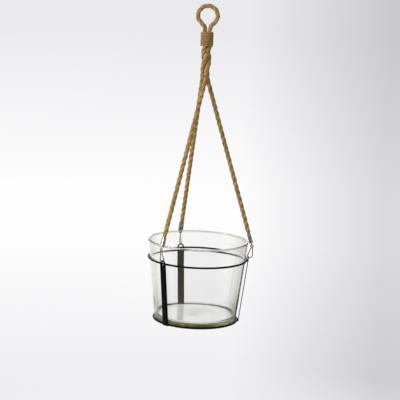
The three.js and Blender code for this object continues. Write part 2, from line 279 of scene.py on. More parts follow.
def handled_metal_group() -> bpy.types.ShaderNodeTree:
    """Dull patches, fine scratches and dirt on plated or painted metal, on Object coordinates.

    Returns:
        The group, with the metal's colour, roughness and height.
    """
    vector, number, colour = "NodeSocketVector", "NodeSocketFloat", "NodeSocketColor"
    group, pen, source, result = new_group(
        "handled_metal",
        [("Place", vector), ("Clean", colour), ("Dull", colour), ("Smooth", number), ("Rough", number),
         ("Grain", number)],
        [("Color", colour), ("Roughness", number), ("Height", number)],
    )
    place = source.outputs["Place"]
    patch = pen.ramp(pen.noise(place, 140.0, 4.0, 0.6), 0.35, 0.7)
    scratch = pen.noise(pen.scaled(place, (1500.0, 1500.0, 160.0)), 1.0, 2.0)
    peel = pen.noise(pen.scaled(place, (1.0, 1.0, 1.0)), 900.0, 2.0)
    wear = pen.math("ADD", pen.math("MULTIPLY", patch, 0.7), pen.math("MULTIPLY", scratch, 0.3))
    shade = pen.blend(wear, source.outputs["Clean"], source.outputs["Dull"])
    span = pen.math("SUBTRACT", source.outputs["Rough"], source.outputs["Smooth"])
    rough = pen.math("ADD", source.outputs["Smooth"], pen.math("MULTIPLY", wear, span))
    height = pen.math("MULTIPLY", pen.math("ADD", peel, pen.math("MULTIPLY", scratch, 0.5)),
                      source.outputs["Grain"])
    pen.tree.links.new(shade, result.inputs["Color"])
    pen.tree.links.new(rough, result.inputs["Roughness"])
    pen.tree.links.new(height, result.inputs["Height"])
    return group


# Finishes


def bare_material(name: str) -> tuple[bpy.types.Material, NodePen, bpy.types.Node]:
    """A new material with its Principled shader.

    Args:
        name: the material's name.

    Returns:
        The material, a pen for its nodes and the shader node.
    """
    material = bpy.data.materials.new(name)
    material.use_nodes = True
    return material, NodePen(material.node_tree), material.node_tree.nodes["Principled BSDF"]


@dataclass(frozen=True)
class JuteFinish:
    """Natural jute, read on the strand's own coordinates."""

    name: str
    dark: Colour = (0.105, 0.05, 0.011, 1.0)
    mid: Colour = (0.41, 0.25, 0.083, 1.0)
    light: Colour = (0.70, 0.50, 0.23, 1.0)
    yarns: float = 6.0
    relief: float = 0.00035

    def build(self, group: bpy.types.ShaderNodeTree) -> bpy.types.Material:
        """Makes the material.

        Args:
            group: the laid fibre group.

        Returns:
            The material.
        """
        material, pen, shader = bare_material(self.name)
        strand = pen.add("ShaderNodeAttribute", attribute_name=STRAND_SPACE)
        fibre = pen.add("ShaderNodeGroup", node_tree=group)
        pen.tree.links.new(strand.outputs["Vector"], fibre.inputs["Strand"])
        for name, value in (("Yarns", self.yarns), ("Dark", self.dark), ("Mid", self.mid), ("Light", self.light)):
            fibre.inputs[name].default_value = value
        bump = pen.add("ShaderNodeBump", {"Height": fibre.outputs["Height"], "Strength": 0.8,
                                          "Distance": self.relief})
        pen.tree.links.new(fibre.outputs["Color"], shader.inputs["Base Color"])
        pen.tree.links.new(fibre.outputs["Roughness"], shader.inputs["Roughness"])
        pen.tree.links.new(bump.outputs["Normal"], shader.inputs["Normal"])
        shader.inputs["Sheen Weight"].default_value = 0.15
        shader.inputs["Sheen Roughness"].default_value = 0.5
        shader.inputs["Sheen Tint"].default_value = (0.9, 0.75, 0.5, 1.0)
        shader.inputs["Specular IOR Level"].default_value = 0.2
        return material


@dataclass(frozen=True)
class MetalFinish:
    """Plated or painted metal with dull patches and a fine grain."""

    name: str
    clean: Colour
    dull: Colour
    metallic: float
    smooth: float
    rough: float
    grain: float
    gleam: float = 0.5

    def build(self, group: bpy.types.ShaderNodeTree) -> bpy.types.Material:
        """Makes the material.

        Args:
            group: the handled metal group.

        Returns:
            The material.
        """
        material, pen, shader = bare_material(self.name)
        place = pen.add("ShaderNodeTexCoord").outputs["Object"]
        metal = pen.add("ShaderNodeGroup", node_tree=group)
        pen.tree.links.new(place, metal.inputs["Place"])
        for name, value in (("Clean", self.clean), ("Dull", self.dull), ("Smooth", self.smooth),
                            ("Rough", self.rough), ("Grain", self.grain)):
            metal.inputs[name].default_value = value
        bump = pen.add("ShaderNodeBump", {"Height": metal.outputs["Height"], "Strength": 0.5, "Distance": 0.00005})
        pen.tree.links.new(metal.outputs["Color"], shader.inputs["Base Color"])
        pen.tree.links.new(metal.outputs["Roughness"], shader.inputs["Roughness"])
        pen.tree.links.new(bump.outputs["Normal"], shader.inputs["Normal"])
        shader.inputs["Metallic"].default_value = self.metallic
        shader.inputs["Specular IOR Level"].default_value = self.gleam
        return material


@dataclass(frozen=True)
class GlassFinish:
    """Clear pressed glass whose faint olive tint gathers in the thick base."""

    name: str
    clear: Colour = (1.0, 1.0, 0.995, 1.0)
    heel: Colour = (0.42, 0.385, 0.285, 1.0)
    foot: Colour = (0.215, 0.19, 0.13, 1.0)
    rim: Colour = (0.68, 0.66, 0.53, 1.0)
    # A soft grey-brown patch in the middle of the floor's top.
    mark: Colour = (0.45, 0.41, 0.33, 1.0)
    # Side colours: the glass's olive tint, made darker where the wall is seen edge-on and towards the bottom. This is
    # painted shade.
    side: Colour = (0.79, 0.77, 0.65, 1.0)
    side_low: Colour = (0.33, 0.30, 0.10, 1.0)
    # Painted refraction: dark spots in the heel band that stand in for the black ring and straps seen through the
    # thick glass.
    painted_dark_refraction: Colour = (0.15, 0.125, 0.072, 1.0)
    # Painted highlight: pale spots in the heel band.
    painted_heel_glint: Colour = (0.66, 0.625, 0.50, 1.0)
    heel_radius: tuple[float, float] = (0.0685, 0.0705)
    heel_height: tuple[float, float] = (0.0085, 0.0125)
    foot_height: tuple[float, float] = (0.003, 0.0085)
    rim_height: tuple[float, float] = (0.1405, 0.143)
    mark_radius: tuple[float, float] = (0.004, 0.022)
    mark_place: tuple[float, float, float] = (-0.002, -0.008, 0.0)
    side_facing: tuple[float, float] = (0.38, 0.80)
    side_height: tuple[float, float] = (0.009, 0.015)
    side_rise: tuple[float, float] = (0.018, 0.07)
    gleam: Colour = (1.0, 0.975, 0.80, 1.0)
    absorbed: Colour = (0.38, 0.36, 0.02, 1.0)
    density: float = 7.0

    def build(self) -> bpy.types.Material:
        """Makes the material: an olive heel darker towards the bottom, a soft grey-brown patch in the middle of the
        floor, smears on the underside, painted shade on the edge-on wall, and painted dark refractions and highlights
        in the heel band.

        Returns:
            The material.
        """
        material, pen, shader = bare_material(self.name)
        place = pen.add("ShaderNodeTexCoord").outputs["Object"]
        height = pen.math("SUBTRACT", pen.add("ShaderNodeSeparateXYZ", {0: place}).outputs["Z"], UNDERSIDE)
        flat = pen.scaled(place, (1.0, 1.0, 0.0))
        radius = pen.add("ShaderNodeVectorMath", {0: flat}, operation="LENGTH").outputs["Value"]
        low = pen.ramp(height, *self.heel_height, 1.0, 0.0)
        heel = pen.math("MULTIPLY", low, pen.ramp(radius, *self.heel_radius))
        under = pen.ramp(height, 0.0015, 0.003, 1.0, 0.0)
        smear = pen.noise(place, 60.0, 4.0, 0.6)
        above = pen.math("SUBTRACT", 1.0, under)
        away = pen.add("ShaderNodeVectorMath", {0: flat, 1: self.mark_place}, operation="DISTANCE").outputs["Value"]
        mark = pen.math("MULTIPLY", above, pen.ramp(away, *self.mark_radius, 1.0, 0.0))
        # The soft grey-brown patch in the middle of the floor's top.
        floor = pen.blend(pen.math("MULTIPLY", mark, pen.ramp(smear, 0.2, 0.6)), self.clear, self.mark)
        # Painted edge shade: where the wall is seen edge-on, its tint turns darker olive, darker still towards the
        # bottom.
        facing = pen.add("ShaderNodeLayerWeight", {"Blend": 0.5}).outputs["Facing"]
        edge_on = pen.math("MULTIPLY", pen.ramp(facing, *self.side_facing), pen.ramp(height, *self.side_height))
        side = pen.blend(pen.ramp(height, *self.side_rise), self.side_low, self.side)
        wall = pen.blend(edge_on, floor, side)
        edged = pen.blend(pen.ramp(height, *self.rim_height), wall, self.rim)
        streak = pen.math("ADD", height, pen.ramp(smear, 0.3, 0.7, -0.003, 0.003))
        band = pen.blend(pen.ramp(streak, *self.foot_height), self.foot, self.heel)
        # Painted spots in the heel band: dark ones stand in for the black ring and straps seen through the thick
        # glass, and pale ones are painted highlights.
        painted_spot_noise = pen.noise(pen.scaled(place, (1.0, 1.0, 2.0)), 110.0, 2.0, 0.5)
        band = pen.blend(pen.ramp(painted_spot_noise, 0.49, 0.56, 0.0, 0.95), band, self.painted_dark_refraction)
        band = pen.blend(pen.ramp(painted_spot_noise, 0.45, 0.37, 0.0, 0.95), band, self.painted_heel_glint)
        tint = pen.blend(heel, edged, band)
        dull = pen.math("MULTIPLY", under, pen.ramp(smear, 0.3, 0.7, 0.02, 0.09))
        inside = pen.math("MULTIPLY", pen.math("MULTIPLY", above, low), pen.ramp(radius, *self.heel_radius, 1.0, 0.0))
        misted = pen.math("MULTIPLY", inside, pen.ramp(smear, 0.3, 0.7, 0.04, 0.09))
        rough = pen.math("ADD", pen.math("ADD", dull, misted), pen.ramp(smear, 0.45, 0.75, 0.0, 0.02))
        pen.tree.links.new(tint, shader.inputs["Base Color"])
        pen.tree.links.new(rough, shader.inputs["Roughness"])
        shader.inputs["Specular Tint"].default_value = self.gleam
        shader.inputs["Transmission Weight"].default_value = 1.0
        shader.inputs["IOR"].default_value = 1.5
        volume = pen.add("ShaderNodeVolumeAbsorption", {"Color": self.absorbed, "Density": self.density})
        pen.tree.links.new(volume.outputs[0], material.node_tree.nodes["Material Output"].inputs["Volume"])
        return material


# Mesh tools


def turned(bm: bmesh.types.BMesh, profile: Sequence[tuple[float, float]], steps: int) -> list[bmesh.types.BMVert]:
    """Spins a profile round Z.

    Args:
        bm: the mesh that gets the shape.
        profile: the radius and height of each point.
        steps: how many steps one turn has.

    Returns:
        The shape's vertices.
    """
    before = set(bm.verts)
    line = [bm.verts.new((radius, 0.0, height)) for radius, height in profile]
    edges = [bm.edges.new(pair) for pair in zip(line, line[1:])]
    bmesh.ops.spin(bm, geom=line + edges, cent=(0, 0, 0), axis=(0, 0, 1), angle=TURN, steps=steps, use_merge=True)
    made = [vert for vert in bm.verts if vert not in before]
    bmesh.ops.remove_doubles(bm, verts=made, dist=1e-7)
    return [vert for vert in bm.verts if vert not in before]


def round_corner(centre: tuple[float, float], radius: float, start: float, end: float, steps: int
                 ) -> list[tuple[float, float]]:
    """Points of an arc in a profile.

    Args:
        centre: the arc's centre.
        radius: its radius.
        start: the angle where it starts, in degrees.
        end: the angle where it ends.
        steps: how many pieces it has.

    Returns:
        The points.
    """
    angles = [math.radians(start + (end - start) * i / steps) for i in range(steps + 1)]
    return [(centre[0] + radius * math.cos(a), centre[1] + radius * math.sin(a)) for a in angles]


def sweep(bm: bmesh.types.BMesh, places: Sequence[Matrix], sides: int) -> list[list[bmesh.types.BMVert]]:
    """Carries a ring from place to place and closes both ends.

    Args:
        bm: the mesh that gets the tube.
        places: where the unit circle stands at each step, its size in the matrix.
        sides: how many sides the tube has.

    Returns:
        The ring of vertices at each place.
    """
    ring = bmesh.ops.create_circle(bm, cap_ends=True, segments=sides, radius=1.0, matrix=places[0])["verts"]
    inside = set(ring)
    edges = [edge for edge in {e for v in ring for e in v.link_edges} if set(edge.verts) <= inside]
    rings = [ring]
    for before, after in zip(places, places[1:]):
        made = bmesh.ops.extrude_edge_only(bm, edges=edges)["geom"]
        ring = [item for item in made if isinstance(item, bmesh.types.BMVert)]
        inside = set(ring)
        edges = [item for item in made if isinstance(item, bmesh.types.BMEdge) and set(item.verts) <= inside]
        bmesh.ops.transform(bm, matrix=after @ before.inverted(), verts=ring)
        rings.append(ring)
    bmesh.ops.contextual_create(bm, geom=edges)
    return rings


def punched_plate(bm: bmesh.types.BMesh, half: float, foot: float, shoulder: float, crown: float,
                  hole: tuple[float, float], thickness: float, edge: float) -> list[bmesh.types.BMVert]:
    """A flat plate with a round end and a hole, in the YZ plane, its thickness along X.

    Args:
        bm: the mesh that gets the plate.
        half: half the plate's width.
        foot: where the plate starts.
        shoulder: where its sides end and the round end starts.
        crown: how far the round end stands beyond that.
        hole: the hole's height and radius.
        thickness: the plate's thickness.
        edge: how far its edges are rounded.

    Returns:
        The plate's vertices.
    """
    before = set(bm.verts)
    low = [bm.verts.new((-thickness / 2, y, foot)) for y in (-half, half)]
    start = bm.verts.new((-thickness / 2, half, shoulder))
    bmesh.ops.spin(bm, geom=[start], cent=(0, 0, shoulder), axis=(1, 0, 0), angle=math.pi, steps=20, use_merge=False)
    arc = [vert for vert in bm.verts if vert not in before and vert not in low]
    last = min(arc, key=lambda vert: (vert.co - Vector((-thickness / 2, -half, shoulder))).length)
    bmesh.ops.scale(bm, vec=(1, 1, crown / half), space=Matrix.Translation((0, 0, -shoulder)), verts=arc)
    for pair in ((low[1], start), (last, low[0]), (low[0], low[1])):
        bm.edges.new(pair)
    centre = Matrix.Translation((-thickness / 2, 0, hole[0])) @ Matrix.Rotation(math.pi / 2, 4, "Y")
    bmesh.ops.create_circle(bm, cap_ends=False, segments=28, radius=hole[1], matrix=centre)
    new = [vert for vert in bm.verts if vert not in before]
    rim = list({e for v in new for e in v.link_edges})
    faces = [f for f in bmesh.ops.triangle_fill(bm, use_beauty=True, use_dissolve=False, edges=rim,
                                                normal=(1, 0, 0))["geom"] if isinstance(f, bmesh.types.BMFace)]
    lifted = bmesh.ops.extrude_face_region(bm, geom=faces)["geom"]
    bmesh.ops.translate(bm, vec=(thickness, 0, 0), verts=[v for v in lifted if isinstance(v, bmesh.types.BMVert)])
    new = [vert for vert in bm.verts if vert not in before]
    bmesh.ops.recalc_face_normals(bm, faces=list({f for v in new for f in v.link_faces}))
    sharp = [e for e in {e for v in new for e in v.link_edges} if e.calc_face_angle(0.0) > 1.0]
    bmesh.ops.bevel(bm, geom=sharp, offset=edge, segments=2, profile=0.5, affect="EDGES", material=-1)
    return [vert for vert in bm.verts if vert not in before]


def smooth_line(points: Sequence[Vector], steps: int) -> list[Vector]:
    """A smooth curve through points.

    Args:
        points: the points.
        steps: how many steps each span has.

    Returns:
        The curve's points.
    """
    padded = [2 * points[0] - points[1], *points, 2 * points[-1] - points[-2]]
    line = []
    for a, b, c, d in zip(padded, padded[1:], padded[2:], padded[3:]):
        for i in range(steps):
            t = i / steps
            line.append(0.5 * (2 * b + (c - a) * t + (2 * a - 5 * b + 4 * c - d) * t ** 2
                               + (3 * b - a - 3 * c + d) * t ** 3))
    return [*line, points[-1]]


def ease(value: float) -> float:
    """A smooth step from 0 to 1."""
    t = min(max(value, 0.0), 1.0)
    return t * t * (3 - 2 * t)


def piece_from(bm: bmesh.types.BMesh, name: str, material: bpy.types.Material,
               sharp: float = 40.0) -> bpy.types.Object:
    """Turns a finished bmesh into a piece at the origin.

    Args:
        bm: the mesh, which is freed.
        name: the piece's name.
        material: its finish.
        sharp: edges that bend more than this many degrees stay sharp.

    Returns:
        The piece.
    """
    bmesh.ops.recalc_face_normals(bm, faces=bm.faces)
    for face in bm.faces:
        face.smooth = True
    mesh = bpy.data.meshes.new(name)
    bm.to_mesh(mesh)
    bm.free()
    mesh.set_sharp_from_angle(angle=math.radians(sharp))
    mesh.materials.append(material)
    piece = bpy.data.objects.new(name, mesh)
    bpy.context.collection.objects.link(piece)
    return piece


def report(piece: bpy.types.Object, where: str) -> None:
    """Logs one finished piece.

    Args:
        piece: the piece.
        where: the body or bodies that it moves with.
    """
    log.info("%s: %d faces, moves with %s", piece.name, len(piece.data.polygons), where)


# Sizes that the sub-assemblies share


@dataclass(frozen=True)
class Layout:
    """Where the pieces stand, as the part's source works them out."""

    pot_height: float = 0.145
    rim_radius: float = 0.089
    base_radius: float = 0.0723
    seat_gap: float = 0.0003
    ring_wire: float = 0.0034
    upper_ring: float = 0.1125
    lower_ring: float = 0.0026
    eye_bar: tuple[float, float] = (0.090602, 0.118710)
    eye_centre: tuple[float, float] = (0.095198, 0.138310)
    leg_lean: float = 17.077
    fork: float = 0.44
    trunk_top: float = 0.493
    rope_diameter: float = 0.008

    @property
    def taper(self) -> float:
        """The lean of the pot's wall in radians."""
        return math.atan2(self.rim_radius - self.base_radius, self.pot_height)

    def pot_radius(self, height: float) -> float:
        """The pot's outer radius at a height."""
        return self.base_radius + (self.rim_radius - self.base_radius) * height / self.pot_height

    def ring_radius(self, height: float) -> float:
        """The radius of a wire ring's middle at a height."""
        return self.pot_radius(height) + (self.seat_gap + self.ring_wire / 2) / math.cos(self.taper)

    @property
    def leg_line(self) -> Vector:
        """The direction of a rope leg in its radial plane, upwards."""
        lean = math.radians(self.leg_lean)
        return Vector((-math.sin(lean), 0.0, math.cos(lean)))


LAYOUT = Layout()


# Glass pot


@dataclass
class GlassPot:
    """The tapered pot, turned in one piece with a thick base and a fire-rounded rim."""

    rim_wall: float = 0.0043
    thin_wall: float = 0.0025
    thin_at: tuple[float, float] = (0.107, 0.050)
    base_wall: float = 0.0034
    floor: float = 0.0095
    fillet: float = 0.007
    heel: float = 0.002
    punt_radius: float = 0.042
    punt_depth: float = 0.0003
    steps: int = 180
    edge_loop: float = 0.0004

    def profile(self) -> list[tuple[float, float]]:
        """The pot's section, from the middle of the underside round to the middle of the floor.

        Returns:
            The radius and height of each point.
        """
        taper = math.degrees(LAYOUT.taper)
        round_rim = self.rim_wall / 2
        rim = LAYOUT.pot_height - round_rim
        corner = self.floor + self.fillet
        outside = [self.heel + self.edge_loop * i for i in (1, 2)] + [rim - self.edge_loop * i for i in (2, 1)]
        inside = [rim - self.edge_loop + (corner + 2 * self.edge_loop - rim) * i / 40 for i in range(41)]
        return [
            *((self.punt_radius * i / 12, self.punt_depth * (1.0 - ease(i / 12))) for i in range(13)),
            *round_corner((LAYOUT.pot_radius(self.heel) - self.heel / math.cos(LAYOUT.taper), self.heel),
                          self.heel, -90.0, -taper, 10),
            *((LAYOUT.pot_radius(height), height) for height in outside),
            *round_corner((LAYOUT.pot_radius(rim) - round_rim, rim), round_rim, -taper, 180.0 - taper, 16),
            *((LAYOUT.pot_radius(height) - self.wall(height), height) for height in inside),
            *round_corner((LAYOUT.pot_radius(corner) - self.base_wall - self.fillet, corner),
                          self.fillet, 0.0, -90.0, 14),
            (0.0, self.floor),
        ]

    def wall(self, height: float) -> float:
        """The wall's thickness, from the thick rim over the thin middle to the thick foot."""
        high, low = self.thin_at
        top, foot = LAYOUT.pot_height - self.rim_wall / 2, self.floor + self.fillet
        rise = max(0.0, (height - high) / (top - high))
        return (self.thin_wall + (self.rim_wall - self.thin_wall) * rise * ease(3.0 * rise)
                + (self.base_wall - self.thin_wall) * ease((low - height) / (low - foot)))

    def build(self, glass: bpy.types.Material) -> bpy.types.Object:
        """Turns the pot.

        Args:
            glass: its finish.

        Returns:
            The piece.
        """
        bm = bmesh.new()
        turned(bm, self.profile(), self.steps)
        bmesh.ops.translate(bm, vec=(0, 0, UNDERSIDE), verts=bm.verts)
        piece = piece_from(bm, "pressed_glass_pot", glass, 60.0)
        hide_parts("glass_pot")
        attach(piece, "pot")
        report(piece, "pot")
        return piece


# Wire basket


@dataclass
class WireBasket:
    """Two welded wire rings and three straps on their outside."""

    strap_width: float = 0.013
    strap_thickness: float = 0.0012
    strap_edge: float = 0.00028
    eye_radius: float = 0.0035
    eye_bar: float = 0.0019
    weld_swell: float = 0.00022
    weld_length: float = 0.0022
    weld_azimuth: float = 84.0
    bead: tuple[float, float, float] = (0.0009, 0.0011, 0.0016)
    ring_steps: int = 180
    wire_sides: int = 18

    def ring(self, name: str, node: str, height: float, steel: bpy.types.Material) -> bpy.types.Object:
        """Bends one ring, with the low swell of its butt weld.

        Args:
            name: the piece's name.
            node: the CAD node that it stands for.
            height: the height of the wire's middle.
            steel: its finish.

        Returns:
            The piece.
        """
        bm = bmesh.new()
        radius = LAYOUT.ring_radius(height)
        wire = LAYOUT.ring_wire / 2
        across = Matrix.Translation((radius, 0, height)) @ Matrix.Rotation(math.pi / 2, 4, "X")
        circle = bmesh.ops.create_circle(bm, cap_ends=False, segments=self.wire_sides, radius=wire, matrix=across)
        edges = list({e for v in circle["verts"] for e in v.link_edges})
        bmesh.ops.spin(bm, geom=circle["verts"] + edges, cent=(0, 0, 0), axis=(0, 0, 1), angle=TURN,
                       steps=self.ring_steps, use_merge=True)
        for vert in bm.verts:
            turn = math.atan2(vert.co.y, vert.co.x)
            off = math.remainder(turn - math.radians(self.weld_azimuth), TURN) * radius / self.weld_length
            middle = Vector((radius * math.cos(turn), radius * math.sin(turn), height))
            vert.co += (vert.co - middle).normalized() * self.weld_swell * math.exp(-off * off)
        bmesh.ops.translate(bm, vec=(0, 0, UNDERSIDE), verts=bm.verts)
        piece = piece_from(bm, name, steel)
        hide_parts(node)
        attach(piece, "basket")
        report(piece, "basket")
        return piece

    def strap(self, side: Side, steel: bpy.types.Material) -> bpy.types.Object:
        """Punches one strap and welds it to both rings.

        Args:
            side: where it stands.
            steel: its finish.

        Returns:
            The piece.
        """
        low = Vector((LAYOUT.ring_radius(LAYOUT.lower_ring), 0, LAYOUT.lower_ring))
        high = Vector((LAYOUT.ring_radius(LAYOUT.upper_ring), 0, LAYOUT.upper_ring))
        rise = high - low
        tilt = math.atan2(rise.x, rise.z)
        stand = LAYOUT.ring_wire / 2 + LAYOUT.seat_gap + self.strap_thickness / 2
        foot = low + stand * Vector((math.cos(tilt), 0, -math.sin(tilt)))
        half = self.strap_width / 2
        top = (Vector((LAYOUT.eye_bar[0], 0, LAYOUT.eye_bar[1])) - foot).length + self.eye_bar / 2
        bm = bmesh.new()
        punched_plate(bm, half, -LAYOUT.ring_wire / 2, top - half, half,
                      (top - self.eye_bar - self.eye_radius, self.eye_radius), self.strap_thickness, self.strap_edge)
        for height in (0.0, rise.length):
            for edge in (-half, half):
                spot = Matrix.Translation((-self.strap_thickness / 2 - LAYOUT.seat_gap, edge * 0.97, height))
                bmesh.ops.create_icosphere(bm, subdivisions=3, radius=1.0,
                                           matrix=spot @ Matrix.Diagonal((*self.bead, 1.0)))
        place = side.matrix @ Matrix.Translation(foot) @ Matrix.Rotation(tilt, 4, "Y")
        bmesh.ops.transform(bm, matrix=place, verts=bm.verts)
        piece = piece_from(bm, f"flat_strap_{side.label}", steel, 35.0)
        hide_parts(f"strap_{side.label}")
        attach(piece, "basket")
        report(piece, "basket")
        return piece

    def build(self, steel: bpy.types.Material) -> None:
        """Makes the rings and the straps.

        Args:
            steel: their finish.
        """
        self.ring("wedge_ring_upper", "upper_ring", LAYOUT.upper_ring, steel)
        self.ring("wedge_ring_lower", "lower_ring", LAYOUT.lower_ring, steel)
        for side in Side:
            self.strap(side, steel)


# Clips


@dataclass
class ClipSet:
    """The crimp ferrule, snap hook and sprung gate of each rope."""

    wire: float = 0.0009
    snap_eye: float = 0.0022
    belly: float = 0.0062
    neck_gap: float = 0.0004
    neck_flare: float = 0.0003
    gate_gap: float = 0.00045
    gate_dome: float = 0.00034
    bead: float = 0.00135
    eye_bar: float = 0.0019
    snap_inset: float = 0.0023
    collar: float = 0.00028
    cup_bottom: float = 0.0052
    cup_length: float = 0.017
    cup_width: float = 0.0092
    cup_depth: float = 0.0072
    cup_wall: float = 0.001
    cup_floor: float = 0.0026
    crimp_depth: float = 0.00042
    tongue_half: float = 0.0028
    tongue_arch: float = 0.000866
    tongue_bar: float = 0.0012
    tongue_hole: float = 0.0015
    tongue_thickness: float = 0.001
    wire_sides: int = 14
    cup_steps: int = 56

    @property
    def eye(self) -> Vector:
        """The small eye's centre from the middle of the strap's eye bar."""
        return Vector((LAYOUT.eye_centre[0] - LAYOUT.eye_bar[0], 0, LAYOUT.eye_centre[1] - LAYOUT.eye_bar[1]))

    @property
    def neck(self) -> float:
        """Half the distance between the two legs under the small eye."""
        return self.wire + self.neck_gap / 2

    @property
    def gate_top(self) -> Vector:
        """Where the hook's wire ends at the gate's hinge."""
        height = self.eye.z - self.snap_eye - 2 * self.wire
        return Vector((self.eye.x - self.neck - self.neck_flare, 0, height))

    @property
    def nose(self) -> Vector:
        """Where the hook's wire ends under the gate's bead."""
        return Vector((-self.snap_inset, 0, self.eye_bar / 2 + self.wire))

    @property
    def gate_line(self) -> Vector:
        """The direction from the gate's hinge to the nose."""
        return (self.nose - self.gate_top).normalized()

    def bar_matrix(self, side: Side) -> Matrix:
        """From the middle of the strap's eye bar to the row frame."""
        return side.matrix @ Matrix.Translation((LAYOUT.eye_bar[0], 0, LAYOUT.eye_bar[1]))

    def hook_points(self) -> list[Vector]:
        """The bent wire's middle, from the gate's hinge round the eye and the bow to the nose.

        Returns:
            The points, from the middle of the strap's eye bar.
        """
        angle = math.degrees(math.asin(self.neck / self.snap_eye))
        eye = round_corner((self.eye.x, self.eye.z), self.snap_eye, 270.0 - angle, angle - 90.0, 14)
        drop = self.eye_bar / 2 + LAYOUT.seat_gap + self.wire
        bow = [(x, drop + 2 * (z - drop) * drop / self.belly)
               for x, z in round_corner((0.0, drop), self.belly, 0.0, -90.0, 6)]
        line = [
            *((x, z) for x, _, z in (self.gate_top, self.gate_top - self.gate_line * self.wire)),
            *eye,
            (self.eye.x + self.neck + self.neck_flare, self.gate_top.z),
            (self.belly, self.eye.z / 2),
            *bow,
            (-self.snap_inset, -drop / 2),
            *((x, z) for x, _, z in (self.nose + self.gate_line * self.wire, self.nose)),
        ]
        return smooth_line([Vector((x, 0.0, z)) for x, z in line], 5)

    def hook(self, side: Side, nickel: bpy.types.Material) -> bpy.types.Object:
        """Bends one snap hook from wire, with a collar at the hinge and a knob at the nose.

        Args:
            side: where it hangs.
            nickel: its finish.

        Returns:
            The piece.
        """
        points = self.hook_points()
        places = []
        for i, point in enumerate(points):
            ahead = (points[min(i + 1, len(points) - 1)] - points[max(i - 1, 0)]).normalized()
            end = min((point - points[0]).length, (point - points[-1]).length)
            radius = self.wire + self.collar * ease((0.0019 - end) / 0.0007) * ease(0.55 + end / 0.0006)
            flat = Vector((0, 1, 0))
            turn = Matrix((flat.cross(ahead), flat, ahead)).transposed().to_4x4()
            places.append(Matrix.Translation(point) @ turn @ Matrix.Diagonal((radius, radius, radius, 1.0)))
        bm = bmesh.new()
        sweep(bm, places, self.wire_sides)
        bmesh.ops.transform(bm, matrix=self.bar_matrix(side), verts=bm.verts)
        piece = piece_from(bm, f"wire_snap_{side.label}", nickel)
        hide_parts(f"snap_hook_{side.label}")
        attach(piece, f"clip_{side.label}")
        report(piece, f"clip_{side.label}")
        return piece

    def gate(self, side: Side, nickel: bpy.types.Material) -> bpy.types.Object:
        """Turns one gate: a wire with a round top and a bead at its foot.

        Args:
            side: where it hangs.
            nickel: its finish.

        Returns:
            The piece.
        """
        hinge = self.gate_top + self.gate_line * self.gate_gap
        bead = self.nose - self.gate_line * (self.gate_gap + self.bead)
        length = (bead - hinge).length
        meet = math.degrees(math.asin(self.wire / self.bead))
        dome = [(self.wire * x, self.gate_dome * z) for x, z in round_corner((0.0, 0.0), 1.0, -90.0, 0.0, 6)]
        profile = [*dome, *round_corner((0.0, length), self.bead, meet - 90.0, 90.0, 14)]
        bm = bmesh.new()
        turned(bm, [(abs(radius), height) for radius, height in profile], 20)
        turn = Vector((0, 0, 1)).rotation_difference(self.gate_line).to_matrix().to_4x4()
        bmesh.ops.transform(bm, matrix=self.bar_matrix(side) @ Matrix.Translation(hinge) @ turn, verts=bm.verts)
        piece = piece_from(bm, f"sprung_gate_{side.label}", nickel)
        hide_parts(f"snap_gate_{side.label}")
        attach(piece, f"gate_{side.label}")
        report(piece, f"gate_{side.label}")
        return piece

    def crimp(self, cup: Sequence[bmesh.types.BMVert]) -> None:
        """Presses the crimps into a cup's two flat sides.

        Args:
            cup: the cup's vertices.
        """
        for vert in cup:
            press = 0.0
            for share in (0.36, 0.72):
                up = (vert.co.z - self.cup_bottom - share * self.cup_length) / 0.0016
                press += math.exp(-up * up - (vert.co.y / 0.0021) ** 2)
            if vert.co.z > self.cup_bottom + self.cup_floor / 2:
                vert.co.x -= math.copysign(min(press * self.crimp_depth, abs(vert.co.x)), vert.co.x)

    def ferrule(self, side: Side, nickel: bpy.types.Material) -> bpy.types.Object:
        """Turns, flattens and crimps one cup and adds its punched tongue.

        Args:
            side: where it hangs.
            nickel: its finish.

        Returns:
            The piece.
        """
        radius = self.cup_width / 2
        bore = radius - self.cup_wall
        top = self.cup_bottom + self.cup_length
        lip = self.cup_wall / 2
        profile = [
            (0.0, self.cup_bottom),
            *round_corner((radius - 0.0011, self.cup_bottom + 0.0011), 0.0011, -90.0, 0.0, 6),
            *((radius, self.cup_bottom + 0.0011 + (self.cup_length - 0.0016) * i / 16) for i in range(1, 16)),
            *round_corner((radius - lip, top - lip), lip, 0.0, 180.0, 8),
            *((bore, top - lip - (self.cup_length - self.cup_floor - lip) * i / 12) for i in range(1, 13)),
            (0.0, self.cup_bottom + self.cup_floor),
        ]
        bm = bmesh.new()
        cup = turned(bm, profile, self.cup_steps)
        bmesh.ops.scale(bm, vec=(self.cup_depth / self.cup_width, 1, 1), verts=cup)
        self.crimp(cup)
        root = self.cup_bottom + self.cup_floor / 2
        tongue = punched_plate(bm, self.tongue_half, -root, -self.tongue_arch, self.tongue_bar,
                               (-self.tongue_arch - self.tongue_hole, self.tongue_hole), self.tongue_thickness, 0.0002)
        bmesh.ops.rotate(bm, cent=(0, 0, 0), matrix=Matrix.Rotation(math.pi, 3, "X"), verts=tongue)
        place = (side.matrix @ Matrix.Translation((LAYOUT.eye_centre[0], 0, LAYOUT.eye_centre[1]))
                 @ Matrix.Rotation(-math.radians(LAYOUT.leg_lean), 4, "Y"))
        bmesh.ops.transform(bm, matrix=place, verts=bm.verts)
        piece = piece_from(bm, f"crimp_ferrule_{side.label}", nickel)
        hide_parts(f"ferrule_{side.label}")
        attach(piece, f"clip_{side.label}")
        report(piece, f"clip_{side.label}")
        return piece

    def build(self, nickel: bpy.types.Material) -> None:
        """Makes the three clips.

        Args:
            nickel: their finish.
        """
        for side in Side:
            self.ferrule(side, nickel)
            self.hook(side, nickel)
            self.gate(side, nickel)


# Ropes


